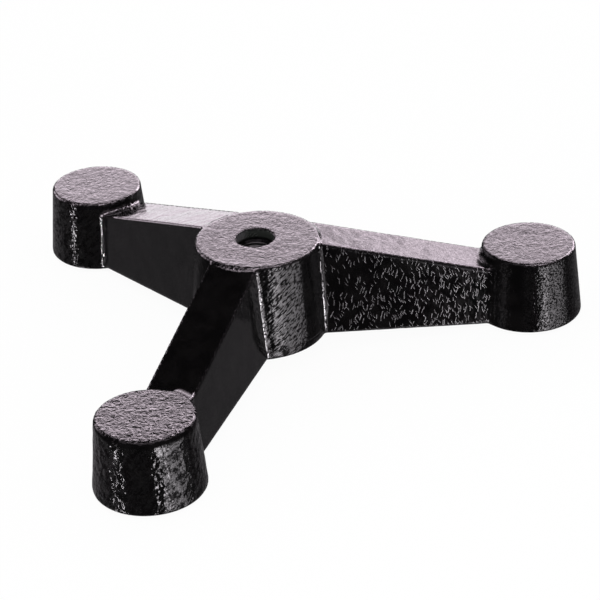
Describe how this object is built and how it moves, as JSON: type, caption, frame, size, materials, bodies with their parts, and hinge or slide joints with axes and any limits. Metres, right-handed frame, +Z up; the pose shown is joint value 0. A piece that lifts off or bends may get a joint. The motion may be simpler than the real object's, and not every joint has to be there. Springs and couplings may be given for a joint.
{
  "type": "stanchion base",
  "caption": "Free-standing base for an upright post: cast hub with a tapped post hole, sloping arms and tapered drum feet standing on rubber pads.",
  "frame": {"origin": "on the floor plane under the rubber pads, straight below the middle of the post hole", "axes": "+Z up along the post hole; +X from the post hole along the right leg; the other legs are at 120 and 240 degrees from +X"},
  "size_m": [0.1753, 0.197, 0.04],
  "materials": {
    "casting": "gloss black baked enamel over a rough sand-cast surface",
    "pad": "matt moulded rubber"
  },
  "bodies": {
    "root": {"base_casting": "casting", "foot_pad_right": "pad", "foot_pad_back": "pad", "foot_pad_front": "pad"}
  },
  "joints": []
}
